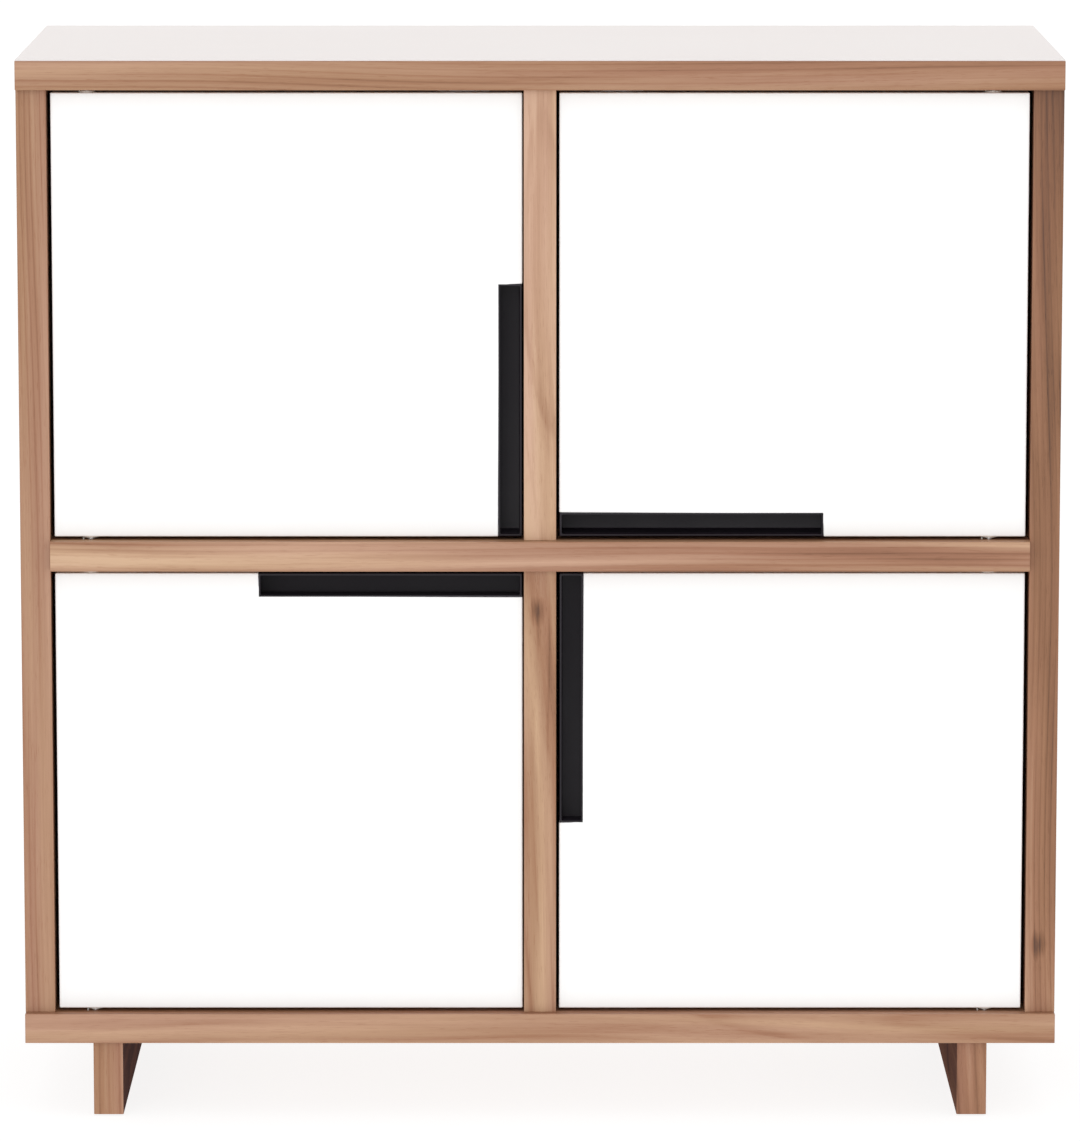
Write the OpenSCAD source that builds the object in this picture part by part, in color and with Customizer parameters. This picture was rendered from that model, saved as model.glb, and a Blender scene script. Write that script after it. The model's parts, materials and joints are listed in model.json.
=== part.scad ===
// Four-door cube storage cabinet on two plank legs.
// Frame: X across the width, front towards -Y, +Z up.
// The origin is on the floor, at the middle of the footprint.

/* [Cabinet] */
// Overall width
cabinet_w = 900; // [860:10:940]
// Overall depth, front edge of the top to its back edge
cabinet_d = 400; // [380:10:440]
// Height of the box above its legs
carcass_h = 860; // [820:10:900]
// Thickness of the top, bottom, sides and shelf
board_t = 26; // [25:1:28]
// Thickness of the two dividers
divider_t = 28; // [26:1:30]
// Thickness of the pale laminate on the top
laminate_t = 0.8; // [0.6:0.1:1.2]
// How far the sides and dividers stand behind the front edges of the level boards
upright_setback = 8; // [6:1:9]

/* [Back] */
// Thickness of the back panel
back_t = 4; // [3:0.5:4]
// Depth of the rebate that the back panel lies in
rebate_d = 6; // [6:0.5:8]
// Width of the rebate, from the inner faces outwards
rebate_w = 12; // [10:1:14]

/* [Legs] */
// Height from the floor to the underside of the box
leg_h = 67; // [60:1:80]
// Thickness of each plank leg
leg_t = 26; // [24:1:28]
// Distance of each leg from the outer face of the side above it
leg_inset = 59; // [50:1:70]
// Height of the glides under the legs
glide_t = 1.5; // [1:0.5:3]
// Radius of the glides
glide_r = 10; // [8:1:12]

/* [Doors] */
// Thickness of a door
door_t = 18; // [16:1:19]
// How far the doors' faces stand behind the front edges of the level boards
door_setback = 12; // [10:1:14]
// Gap above and below each door
level_gap = 3; // [2.8:0.1:3.5]
// Gap on the hinge side of each door
hinge_gap = 3.5; // [3:0.1:4]
// Gap between a left door and the divider
left_free_gap = 1.2; // [1.2:0.1:3]
// Gap between a right door and the divider
right_free_gap = 2.6; // [1.2:0.1:3]
// Distance of the pivot axis from the hinge edge of the door
pivot_inset = 31; // [24:1:32]

/* [Finger pulls] */
// Width of the notch cut into a door
notch_w = 21; // [18:1:24]
// Length of the upright notches
upright_notch_l = 220; // [160:5:240]
// Length of the level notches
level_notch_l = 229; // [160:1:240]
// Depth of the black pocket behind the door
pocket_d = 16; // [12:1:18]
// How far the pocket reaches behind the door beyond the notch
undercut = 16; // [12:1:20]
// Wall thickness of the pocket
pocket_wall = 2; // [1.6:0.2:2.4]
// Thickness of the lip that lines the notch
lip_t = 1.6; // [1.2:0.2:2.4]
// Width of the pocket's fixing rim
rim_w = 9; // [8:1:12]

/* [Hidden] */
$fn = 48;

// The four doors: name, side (-1 left, 1 right), row (1 upper, -1 lower) and whether the notch stands upright
DOORS = [
    ["upper_left", -1, 1, true],
    ["upper_right", 1, 1, false],
    ["lower_left", -1, -1, false],
    ["lower_right", 1, -1, true]
];

walnut = [0.74, 0.57, 0.45];
walnut_dark = [0.64, 0.46, 0.36];
pale = [0.92, 0.90, 0.88];
white = [0.97, 0.97, 0.96];
black = [0.15, 0.15, 0.16];
steel = [0.72, 0.73, 0.74];
nylon = [0.85, 0.84, 0.80];
beech = [0.83, 0.70, 0.52];
zinc = [0.60, 0.61, 0.62];

// Levels, from the floor up
floor_z = leg_h + board_t;
opening_h = (carcass_h - 3 * board_t) / 2;
shelf_z = floor_z + opening_h;
shelf_top_z = shelf_z + board_t;
ceiling_z = shelf_top_z + opening_h;
top_z = ceiling_z + board_t;

// Places across the width
outer_x = cabinet_w / 2;
inner_x = outer_x - board_t;
opening_w = inner_x - divider_t / 2;
leg_x = outer_x - leg_inset - leg_t / 2;

// Places in depth
front_y = -cabinet_d / 2;
back_y = cabinet_d / 2;
upright_y = front_y + upright_setback;
rebate_y = back_y - rebate_d;
door_y = front_y + door_setback;
door_back_y = door_y + door_t;

// Pivots: a steel pin held in the door's bush turns in the frame's bush
pin_r = 3;
running_clearance = 0.05;
bush_r = 4.5;
flange_r = 7;
flange_t = 1.2;
frame_bush_l = 11;
door_bush_l = 15;
pin_in_frame = 10;
pin_in_door = 14;
pivot_u = hinge_gap + pivot_inset;
pivot_y = door_y + door_t / 2;

// Cam connectors and dowels
cam_y = 140;
cam_reach = 34;
cam_r = 7.5;
cam_t = 18.5;
bolt_thread_r = 3;
bolt_thread_l = 11;
bolt_bore_r = 4;
bolt_collar_r = 3.5;
bolt_collar_t = 2.5;
bolt_shank_r = 2.5;
bolt_neck_r = 1.8;
bolt_neck_l = 6;
bolt_head_r = 3.2;
bolt_head_t = 2.5;
cam_slot = [2.5, 7, 1.4];
dowel_y = 108;
dowel_r = 4;
dowel_half_l = 12;

// Leg fixings
leg_bolt_y = [-130, 0, 130];
leg_dowel_y = [-65, 65];
leg_bolt_r = 3;
leg_head_r = 6.5;
leg_head_t = 3.5;
leg_socket_r = 2.3;
leg_socket_depth = 2.5;
leg_bolt_short = 1;
insert_r = 5;
insert_l = 15;
leg_bolt_l = board_t + insert_l - leg_bolt_short;
glide_y = [-160, 160];
glide_taper = 0.8;
glide_nail_r = 1.2;
glide_nail_l = 12;

// Screws
screw_r = 1.5;
screw_head_r = 2.9;
screw_head_t = 1.5;
small_screw_l = 12;
catch_screw_l = 14;
back_screw_l = 18;

// Magnetic catches
strike_t = 1;
strike_half_w = 21;
strike_h = 12;
strike_screw_u = 17.5;
strike_high = opening_h - level_gap - 1;
catch_gap = 0.3;
catch_u = opening_w - 52;
catch_y = door_back_y + strike_t + catch_gap;
catch_d = 15;
catch_h = 13;
catch_half_w = 13;
catch_ear_half_w = 23;
catch_ear_t = 3;
catch_screw_u = 18.5;
pole_half_w = 10.5;
pole_d = 9;
pole_t = 2;
pole_low = opening_h - catch_h + 1.5;
pole_high = opening_h - 1.5;
magnet_recess = 0.6;

// Finger pulls
edge_clear = 0.5;
pocket_end_room = 1;
rim_screw_shares = [0.14, 0.5, 0.86];

// Box between two opposite corners
module box(lo, hi) {
    translate(lo) cube(hi - lo);
}

// Places children at a point, with their X and Z along the given directions
module oriented(at, x_dir, z_dir) {
    y_dir = cross(z_dir, x_dir);
    multmatrix([
        [x_dir.x, y_dir.x, z_dir.x, at.x],
        [x_dir.y, y_dir.y, z_dir.y, at.y],
        [x_dir.z, y_dir.z, z_dir.z, at.z],
        [0, 0, 0, 1]
    ]) children();
}

// ---- Joints between the boards ----

// The ten board joints at one depth: place on the joint plane, way into the board that holds the cam,
// way to the face where the cam opens, and half that board's thickness
function board_joints(y) = [
    for (s = [-1, 1]) each [
        [[s * (outer_x - board_t / 2), y, ceiling_z], [0, 0, -1], [-s, 0, 0], board_t / 2],
        [[s * (outer_x - board_t / 2), y, floor_z], [0, 0, 1], [-s, 0, 0], board_t / 2],
        [[s * inner_x, y, shelf_z + board_t / 2], [-s, 0, 0], [0, 0, -1], board_t / 2]
    ],
    for (end = [[ceiling_z, -1], [shelf_top_z, 1], [shelf_z, -1], [floor_z, 1]])
        [[0, y, end[0]], [0, 0, end[1]], [1, 0, 0], divider_t / 2]
];

CAM_JOINTS = [for (y = [-cam_y, cam_y]) each board_joints(y)];
DOWEL_JOINTS = [
    for (y = [-dowel_y, dowel_y]) each board_joints(y),
    for (s = [-1, 1], y = leg_dowel_y) [[s * leg_x, y, leg_h], [0, 0, 1], [1, 0, 0], 0]
];

module cam_bolt() {
    translate([0, 0, -bolt_thread_l]) cylinder(r = bolt_thread_r, h = bolt_thread_l);
    cylinder(r = bolt_collar_r, h = bolt_collar_t);
    cylinder(r = bolt_shank_r, h = cam_reach - bolt_neck_l);
    translate([0, 0, cam_reach - bolt_neck_l]) cylinder(r = bolt_neck_r, h = bolt_neck_l);
    translate([0, 0, cam_reach - bolt_head_t]) cylinder(r = bolt_head_r, h = bolt_head_t);
}

// Disc with a side bore for the bolt's head and a cross slot in its open face
module cam_disc(half_t) {
    slot = cam_slot;
    difference() {
        translate([half_t - cam_t, 0, cam_reach]) rotate([0, 90, 0]) cylinder(r = cam_r, h = cam_t);
        translate([0, 0, cam_reach - cam_r - 1]) cylinder(r = bolt_head_r + 0.4, h = cam_r + 2);
        for (turn = [0, 90])
            translate([half_t - slot.x, 0, cam_reach]) rotate([turn, 0, 0])
                translate([0, -slot.y / 2, -slot.z / 2]) cube([slot.x + 1, slot.y, slot.z]);
    }
}

// What one cam connector takes out of its two boards
module cam_bores(half_t) {
    translate([0, 0, -bolt_thread_l]) cylinder(r = bolt_thread_r, h = bolt_thread_l + 1);
    cylinder(r = bolt_bore_r, h = cam_reach);
    translate([half_t - cam_t, 0, cam_reach]) rotate([0, 90, 0]) cylinder(r = cam_r, h = cam_t + 1);
}

module dowel() {
    translate([0, 0, -dowel_half_l]) cylinder(r = dowel_r, h = 2 * dowel_half_l);
}

module at_joints(joints) {
    for (j = joints) oriented(j[0], j[2], j[1]) {
        $half_t = j[3];
        children();
    }
}

module cam_bolts() {
    color(steel) at_joints(CAM_JOINTS) cam_bolt();
}

module cam_discs() {
    color(zinc) at_joints(CAM_JOINTS) cam_disc($half_t);
}

module dowels() {
    color(beech) at_joints(DOWEL_JOINTS) dowel();
}

// ---- Screws ----

// Pan-head screw: its head stands on the surface at z = 0
module screw(length) {
    slot = [3.6, 0.8, 0.9];
    translate([0, 0, -length]) cylinder(r = screw_r, h = length + 0.2);
    difference() {
        cylinder(r = screw_head_r, h = screw_head_t);
        for (turn = [0, 90])
            rotate(turn) translate([-slot.x / 2, -slot.y / 2, screw_head_t - slot.z])
                cube([slot.x, slot.y, slot.z + 1]);
    }
}

module screw_bore(length) {
    translate([0, 0, -length]) cylinder(r = screw_r, h = length + 1);
}

// Screws of the back panel: along the top, the shelf and the bottom, up both sides, and one in each divider
back_screw_x = [-0.78, -0.28, 0.28, 0.78] * inner_x;
back_screw_shares = [0.28, 0.72];
back_screw_z = [for (row = [floor_z, shelf_top_z], share = back_screw_shares) row + share * opening_h];
back_edge = rebate_w / 2;
BACK_SCREWS = [
    for (x = back_screw_x, z = [floor_z - back_edge, shelf_z + board_t / 2, ceiling_z + back_edge]) [x, z],
    for (s = [-1, 1], z = back_screw_z) [s * (inner_x + back_edge), z],
    for (z = [floor_z, shelf_top_z] + [opening_h, opening_h] / 2) [0, z]
];

module at_back_screws() {
    for (p = BACK_SCREWS)
        oriented([p[0], rebate_y + back_t, p[1]], [1, 0, 0], [0, 1, 0]) children();
}

module back_panel_screws() {
    color(zinc) at_back_screws() screw(back_screw_l);
}

// ---- Legs and their fixings ----

module leg_bolt() {
    difference() {
        union() {
            translate([0, 0, -leg_head_t]) cylinder(r = leg_head_r, h = leg_head_t);
            translate([0, 0, -leg_bolt_l]) cylinder(r = leg_bolt_r, h = leg_bolt_l - leg_bolt_short);
        }
        translate([0, 0, -leg_socket_depth]) cylinder(r = leg_socket_r, h = leg_head_t, $fn = 6);
    }
}

module leg_bolt_bore() {
    translate([0, 0, -leg_head_t]) cylinder(r = leg_head_r, h = leg_head_t + 1);
    translate([0, 0, -board_t - 1]) cylinder(r = leg_bolt_r, h = board_t + 1);
}

module at_leg_bolts() {
    for (s = [-1, 1], y = leg_bolt_y) translate([s * leg_x, y, floor_z]) children();
}

module insert() {
    translate([0, 0, -board_t - insert_l]) difference() {
        cylinder(r = insert_r, h = insert_l);
        translate([0, 0, -1]) cylinder(r = leg_bolt_r, h = insert_l + 2);
    }
}

module insert_bore() {
    translate([0, 0, -board_t - insert_l]) cylinder(r = insert_r, h = insert_l + 1);
}

module glide() {
    cylinder(r1 = glide_r - glide_taper, r2 = glide_r, h = glide_t);
    cylinder(r = glide_nail_r, h = glide_t + glide_nail_l);
}

module at_glides(side) {
    for (y = glide_y) translate([side * leg_x, y, 0]) children();
}

module leg_bolts() {
    color(steel) at_leg_bolts() leg_bolt();
}

module leg_inserts() {
    color(zinc) at_leg_bolts() insert();
}

module leg_glides() {
    color(black) for (side = [-1, 1]) at_glides(side) glide();
}

module leg_panel(side) {
    color(walnut_dark) difference() {
        box([side * leg_x - leg_t / 2, upright_y, glide_t], [side * leg_x + leg_t / 2, -upright_y, leg_h]);
        at_leg_bolts() insert_bore();
        at_joints(DOWEL_JOINTS) dowel();
        at_glides(side) cylinder(r = glide_nail_r, h = glide_t + glide_nail_l);
    }
}

// ---- Places inside an opening ----

// Local frame of one opening: X from the side panel towards the divider, Z from the shelf outwards
module in_opening(door) {
    translate([0, 0, door[2] > 0 ? shelf_top_z : shelf_z])
        mirror([0, 0, door[2] > 0 ? 0 : 1])
            mirror([door[1] > 0 ? 1 : 0, 0, 0])
                translate([-inner_x, 0, 0]) children();
}

// The two pivots of an opening: origin on the board's face, +Z towards the door
module at_pivots() {
    translate([pivot_u, pivot_y, 0]) children();
    translate([pivot_u, pivot_y, opening_h]) mirror([0, 0, 1]) children();
}

// Where the two screws of a catch go: origin on the ears, +Z away from the board
module at_catch_screws() {
    for (s = [-1, 1])
        oriented([catch_u + s * catch_screw_u, catch_y + catch_d / 2, opening_h - catch_ear_t],
                 [1, 0, 0], [0, 0, -1]) children();
}

module frame_bush() {
    difference() {
        union() {
            translate([0, 0, -frame_bush_l]) cylinder(r = bush_r, h = frame_bush_l);
            cylinder(r = flange_r, h = flange_t);
        }
        translate([0, 0, -frame_bush_l - 1])
            cylinder(r = pin_r + running_clearance, h = frame_bush_l + flange_t + 2);
    }
}

module magnet_catch_housing() {
    difference() {
        union() {
            box([catch_u - catch_ear_half_w, catch_y, opening_h - catch_ear_t],
                [catch_u + catch_ear_half_w, catch_y + catch_d, opening_h]);
            box([catch_u - catch_half_w, catch_y, opening_h - catch_h],
                [catch_u + catch_half_w, catch_y + catch_d, opening_h]);
        }
        box([catch_u - pole_half_w, catch_y - 1, pole_low],
            [catch_u + pole_half_w, catch_y + pole_d, pole_high]);
        at_catch_screws() screw_bore(catch_screw_l);
    }
}

// Ferrite block between two steel pole plates
module catch_magnet() {
    left = catch_u - pole_half_w;
    right = catch_u + pole_half_w;
    for (z = [pole_low, pole_high - pole_t])
        box([left, catch_y, z], [right, catch_y + pole_d, z + pole_t]);
    box([left, catch_y + magnet_recess, pole_low], [right, catch_y + pole_d, pole_high]);
}

module in_openings() {
    for (door = DOORS) in_opening(door) children();
}

module frame_bushes() {
    color(nylon) in_openings() at_pivots() frame_bush();
}

module magnet_catch_housings() {
    color(white) in_openings() magnet_catch_housing();
}

module catch_magnets() {
    color(steel) in_openings() catch_magnet();
}

module catch_screws() {
    color(zinc) in_openings() at_catch_screws() screw(catch_screw_l);
}

// ---- Boards ----

// Everything that is cut out of the boards for the back, the connectors, the pivots and the screws
module board_cuts() {
    box([-inner_x - rebate_w, rebate_y, floor_z - rebate_w],
        [inner_x + rebate_w, back_y + 1, ceiling_z + rebate_w]);
    at_joints(CAM_JOINTS) cam_bores($half_t);
    at_joints(DOWEL_JOINTS) dowel();
    at_back_screws() screw_bore(back_screw_l);
    at_leg_bolts() leg_bolt_bore();
    in_openings() {
        at_pivots() translate([0, 0, -frame_bush_l]) cylinder(r = bush_r, h = frame_bush_l + 1);
        at_catch_screws() screw_bore(catch_screw_l);
    }
}

module board(lo, hi, tone = walnut) {
    color(tone) difference() {
        box(lo, hi);
        board_cuts();
    }
}

module top_panel() {
    board([-outer_x, front_y, ceiling_z], [outer_x, back_y, top_z - laminate_t]);
}

module top_laminate() {
    color(pale) box([-outer_x, front_y, top_z - laminate_t], [outer_x, back_y, top_z]);
}

module bottom_panel() {
    board([-outer_x, front_y, leg_h], [outer_x, back_y, floor_z]);
}

module left_side_panel() {
    board([-outer_x, upright_y, floor_z], [-inner_x, back_y, ceiling_z]);
}

module right_side_panel() {
    board([inner_x, upright_y, floor_z], [outer_x, back_y, ceiling_z], walnut_dark);
}

module middle_shelf() {
    board([-inner_x, front_y, shelf_z], [inner_x, rebate_y, shelf_top_z]);
}

module upper_divider() {
    board([-divider_t / 2, upright_y, shelf_top_z], [divider_t / 2, rebate_y, ceiling_z]);
}

module lower_divider() {
    board([-divider_t / 2, upright_y, floor_z], [divider_t / 2, rebate_y, shelf_z]);
}

module back_panel() {
    slack = 0.5;
    edge = rebate_w - slack;
    color(walnut_dark) difference() {
        box([-inner_x - edge, rebate_y, floor_z - edge],
            [inner_x + edge, rebate_y + back_t, ceiling_z + edge]);
        at_back_screws() screw_bore(back_screw_l);
    }
}

// ---- Doors ----

// Free edge of a door, in its opening
function free_u(door) = opening_w - (door[1] < 0 ? left_free_gap : right_free_gap);

// Length of a door's notch across and up
function notch_size(door) = door[3] ? [notch_w, upright_notch_l] : [level_notch_l, notch_w];

// The notch's corner that lies inside the door
function notch_corner(door) = [free_u(door) - notch_size(door)[0], level_gap + notch_size(door)[1]];

// The same corner of the pocket's hollow, which reaches further behind the door along the notch's long edge
function pocket_inner(door) = notch_corner(door)
    + (door[3] ? [-undercut, pocket_end_room] : [-pocket_end_room, undercut]);

// Screws along the pocket's rim: three beside the long edge and one at the end
function rim_screws(door) = let (p = pocket_inner(door), off = pocket_wall + rim_w / 2, f = free_u(door))
    door[3]
        ? [for (w = rim_screw_shares * p[1]) [p[0] - off, w], [(p[0] + f) / 2, p[1] + off]]
        : [for (t = rim_screw_shares) [f + t * (p[0] - f), p[1] + off], [p[0] - off, p[1] / 2]];

module at_rim_screws(door) {
    for (p = rim_screws(door))
        oriented([p[0], door_back_y + pocket_wall, p[1]], [1, 0, 0], [0, 1, 0]) children();
}

module at_strike_screws() {
    for (s = [-1, 1])
        oriented([catch_u + s * strike_screw_u, door_back_y + strike_t, strike_high - strike_h / 2],
                 [1, 0, 0], [0, 1, 0]) children();
}

module door_panel(door) {
    m = notch_corner(door);
    f = free_u(door);
    color(white) in_opening(door) difference() {
        box([hinge_gap, door_y, level_gap], [f, door_back_y, opening_h - level_gap]);
        box([m[0], door_y - 1, level_gap - 1], [f + 1, door_back_y + 1, m[1]]);
        at_pivots() translate([0, 0, level_gap - 1]) cylinder(r = bush_r, h = door_bush_l + 1);
        at_rim_screws(door) screw_bore(small_screw_l);
        at_strike_screws() screw_bore(small_screw_l);
    }
}

// Moulded cup: a lip lines the notch, the hollow widens behind the door, and a rim is screwed to the back
module pull_pocket(door) {
    p = pocket_inner(door);
    m = notch_corner(door);
    w = pocket_wall;
    free = free_u(door) - edge_clear;
    low = level_gap + edge_clear;
    color(black) in_opening(door) difference() {
        union() {
            box([m[0], door_y, low], [free, door_back_y + w, m[1]]);
            box([p[0] - w, door_back_y, low], [free, door_back_y + pocket_d + w, p[1] + w]);
            box([p[0] - w - rim_w, door_back_y, low], [free, door_back_y + w, p[1] + w + rim_w]);
        }
        box([m[0] + lip_t, door_y - 1, low + lip_t], [free - lip_t, door_back_y + w + 1, m[1] - lip_t]);
        box([p[0], door_back_y + w, low + lip_t], [free - lip_t, door_back_y + pocket_d, p[1]]);
        at_rim_screws(door) screw_bore(small_screw_l);
    }
}

module pivot_pins(door) {
    color(steel) in_opening(door) at_pivots()
        translate([0, 0, -pin_in_frame]) cylinder(r = pin_r, h = pin_in_frame + level_gap + pin_in_door);
}

module door_bushes(door) {
    color(nylon) in_opening(door) at_pivots() difference() {
        union() {
            translate([0, 0, level_gap - flange_t]) cylinder(r = flange_r, h = flange_t);
            translate([0, 0, level_gap]) cylinder(r = bush_r, h = door_bush_l);
        }
        translate([0, 0, level_gap - flange_t - 1]) cylinder(r = pin_r, h = door_bush_l + flange_t + 2);
    }
}

module strike_plate(door) {
    color(steel) in_opening(door) difference() {
        box([catch_u - strike_half_w, door_back_y, strike_high - strike_h],
            [catch_u + strike_half_w, door_back_y + strike_t, strike_high]);
        at_strike_screws() screw_bore(small_screw_l);
    }
}

module door_screws(door) {
    color(zinc) in_opening(door) {
        at_rim_screws(door) screw(small_screw_l);
        at_strike_screws() screw(small_screw_l);
    }
}

// ---- Nodes ----

top_panel();
top_laminate();
bottom_panel();
left_side_panel();
right_side_panel();
middle_shelf();
upper_divider();
lower_divider();
back_panel();
back_panel_screws();
leg_panel(-1);  // left_leg_panel
leg_panel(1);  // right_leg_panel
leg_bolts();
leg_inserts();
leg_glides();
cam_bolts();
cam_discs();
dowels();
frame_bushes();
magnet_catch_housings();
catch_magnets();
catch_screws();

for (d = DOORS) {
    door_panel(d);
    pull_pocket(d);
    pivot_pins(d);
    door_bushes(d);
    strike_plate(d);
    door_screws(d);
}
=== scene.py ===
"""Four-door cube storage cabinet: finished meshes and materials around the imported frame."""

import json
import math

import bmesh
import bpy
import numpy as np
from mathutils import Matrix, Vector


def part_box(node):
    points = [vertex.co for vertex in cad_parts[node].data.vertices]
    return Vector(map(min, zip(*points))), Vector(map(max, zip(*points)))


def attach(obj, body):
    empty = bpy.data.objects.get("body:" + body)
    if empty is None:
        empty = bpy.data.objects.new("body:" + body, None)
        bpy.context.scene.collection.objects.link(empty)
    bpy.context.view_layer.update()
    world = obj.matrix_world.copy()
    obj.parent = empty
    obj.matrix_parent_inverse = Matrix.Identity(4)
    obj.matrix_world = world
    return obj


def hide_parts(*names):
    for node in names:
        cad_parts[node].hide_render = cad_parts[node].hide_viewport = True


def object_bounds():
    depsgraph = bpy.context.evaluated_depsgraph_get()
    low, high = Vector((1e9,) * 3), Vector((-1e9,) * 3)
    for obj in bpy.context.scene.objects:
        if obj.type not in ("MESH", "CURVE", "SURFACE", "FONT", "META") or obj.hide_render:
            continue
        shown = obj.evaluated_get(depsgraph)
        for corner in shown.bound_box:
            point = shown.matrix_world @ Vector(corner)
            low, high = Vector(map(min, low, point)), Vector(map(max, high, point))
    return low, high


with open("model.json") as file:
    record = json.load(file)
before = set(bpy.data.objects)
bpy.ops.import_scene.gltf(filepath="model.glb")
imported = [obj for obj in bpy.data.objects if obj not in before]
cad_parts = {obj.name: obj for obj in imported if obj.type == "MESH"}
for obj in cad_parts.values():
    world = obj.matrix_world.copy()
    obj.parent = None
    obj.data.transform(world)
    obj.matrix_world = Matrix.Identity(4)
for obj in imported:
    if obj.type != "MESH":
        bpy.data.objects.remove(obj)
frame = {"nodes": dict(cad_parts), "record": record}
cad_lo, cad_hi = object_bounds()

MM = 0.001
X, Y, Z = 0, 1, 2
SCENE = bpy.context.scene
NODES = frame["nodes"]
BODIES = {n: body for body, members in frame["record"]["behaviour"]["bodies"].items() for n in members}
DOORS = ("upper_left", "upper_right", "lower_left", "lower_right")

# ---------------------------------------------------------------- camera and light

CAMERA_DISTANCE = 6.0          # metres from the front plane
CAMERA_HEIGHT = 1.400
CAMERA_PITCH = 8.67            # degrees below the horizon
CAMERA_REACH = 200.0
FOCAL_LENGTH = 221.3           # millimetres, as is the sensor
SENSOR = 36.0

# How the studio's strength falls as the direction turns up from the horizon
SKY_FADE = {"From Min": 0.08, "From Max": 0.5, "To Min": 1.0, "To Max": 0.6}

# The direction each lamp shines in, its strength and its width in degrees
LAMPS = {
    "front_key": ((0.22, 1.0, -0.30), 0.70, 40),
    "overhead": ((-0.25, 0.35, -1.0), 0.60, 60),
    "rear_fill": ((0.3, -1.0, -0.45), 0.50, 60),
}


def make_camera():
    """A long lens in front of the cabinet that looks slightly down."""
    data = bpy.data.cameras.new("camera")
    data.sensor_width = SENSOR
    data.lens = FOCAL_LENGTH
    data.clip_end = CAMERA_REACH
    cam = bpy.data.objects.new("camera", data)
    cam.location = (0.0, cad_lo.y - CAMERA_DISTANCE, CAMERA_HEIGHT)
    cam.rotation_euler = (math.radians(90 - CAMERA_PITCH), 0, 0)
    SCENE.collection.objects.link(cam)
    SCENE.camera = cam


def sun(name, toward, strength, softness):
    """A soft distant lamp that shines along the direction toward; softness is its width in degrees."""
    data = bpy.data.lights.new(name, "SUN")
    data.energy = strength
    data.angle = math.radians(softness)
    lamp = bpy.data.objects.new(name, data)
    lamp.rotation_euler = Vector(toward).to_track_quat("-Z", "Y").to_euler()
    SCENE.collection.objects.link(lamp)


def make_light():
    """A white studio that is brightest round the horizon, with three wide soft lamps."""
    world = bpy.data.worlds.new("studio")
    world.use_nodes = True
    tree = world.node_tree
    direction = tree.nodes.new("ShaderNodeTexCoord")
    height = tree.nodes.new("ShaderNodeSeparateXYZ")
    fade = tree.nodes.new("ShaderNodeMapRange")
    for key, value in SKY_FADE.items():
        fade.inputs[key].default_value = value
    tree.links.new(direction.outputs["Generated"], height.inputs[0])
    tree.links.new(height.outputs["Z"], fade.inputs["Value"])
    tree.links.new(fade.outputs["Result"], tree.nodes["Background"].inputs["Strength"])
    tree.nodes["Background"].inputs["Color"].default_value = (1.0, 1.0, 1.0, 1.0)
    SCENE.world = world
    for name, settings in LAMPS.items():
        sun(name, *settings)
    SCENE.view_settings.view_transform = "Standard"


# ---------------------------------------------------------------- materials

class Shader:
    """One node material. A socket given as an input is linked, and a plain value is set on the socket."""

    def __init__(self, name):
        self.material = bpy.data.materials.new(name)
        self.material.use_nodes = True
        self.tree = self.material.node_tree
        self.surface = self.tree.nodes["Principled BSDF"]

    def add(self, kind, inputs, **settings):
        node = self.tree.nodes.new("ShaderNode" + kind)
        for key, value in settings.items():
            setattr(node, key, value)
        self.fill(node, inputs)
        return node

    def fill(self, node, inputs):
        for key, value in inputs.items():
            if isinstance(value, bpy.types.NodeSocket):
                self.tree.links.new(value, node.inputs[key])
            else:
                node.inputs[key].default_value = value

    def place(self):
        return self.add("TexCoord", {}).outputs["Object"]

    def vector(self, operation, a, b):
        return self.add("VectorMath", {0: a, 1: b}, operation=operation).outputs[0]

    def length(self, place):
        return self.add("VectorMath", {0: place}, operation="LENGTH").outputs["Value"]

    def math(self, operation, a, b=0.0, c=0.0):
        return self.add("Math", {0: a, 1: b, 2: c}, operation=operation).outputs[0]

    def texture(self, place, scale, detail, roughness=0.5):
        """A noise texture's outputs; scale is its repeats per metre along each axis."""
        stretched = self.vector("MULTIPLY", place, scale)
        return self.add("TexNoise", {"Vector": stretched, "Scale": 1.0, "Detail": detail,
                                     "Roughness": roughness}).outputs

    def noise(self, place, scale, detail=2.0, roughness=0.5):
        """Noise between 0 and 1."""
        return self.texture(place, scale, detail, roughness)["Fac"]

    def ramp(self, factor, stops, interpolation="LINEAR"):
        node = self.add("ValToRGB", {"Fac": factor})
        node.color_ramp.interpolation = interpolation
        points = node.color_ramp.elements
        while len(points) < len(stops):
            points.new(0.5)
        for point, (position, colour) in zip(points, stops):
            point.position = position
            point.color = (*colour, 1)
        return node.outputs["Color"]

    def grey(self, factor, low, high, from_low=0.0, from_high=1.0):
        """A number from low to high as factor goes from from_low to from_high."""
        return self.add("MapRange", {"Value": factor, "From Min": from_low, "From Max": from_high,
                                     "To Min": low, "To Max": high}).outputs["Result"]

    def mix(self, factor, a, b, blend="MIX"):
        node = self.add("Mix", {}, data_type="RGBA", blend_type=blend)
        self.fill(node, {0: factor, 6: a, 7: b})
        return node.outputs[2]

    def fade(self, factor, from_low, from_high, a, b, most=1.0):
        """Turns a into b as factor goes from from_low to from_high; most is how far it gets."""
        return self.mix(self.grey(factor, 0.0, most, from_low, from_high), a, b)

    def bump(self, height, strength, depth):
        return self.add("Bump", {"Height": height, "Strength": strength, "Distance": depth}).outputs["Normal"]

    def finish(self, **inputs):
        self.fill(self.surface, {key.replace("_", " "): value for key, value in inputs.items()})
        return self.material


def rgb(r, g, b):
    return (r, g, b, 1.0)


def scaled(colour, factor):
    """The colour made brighter or darker."""
    return rgb(*(c * factor for c in colour[:3]))


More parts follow.
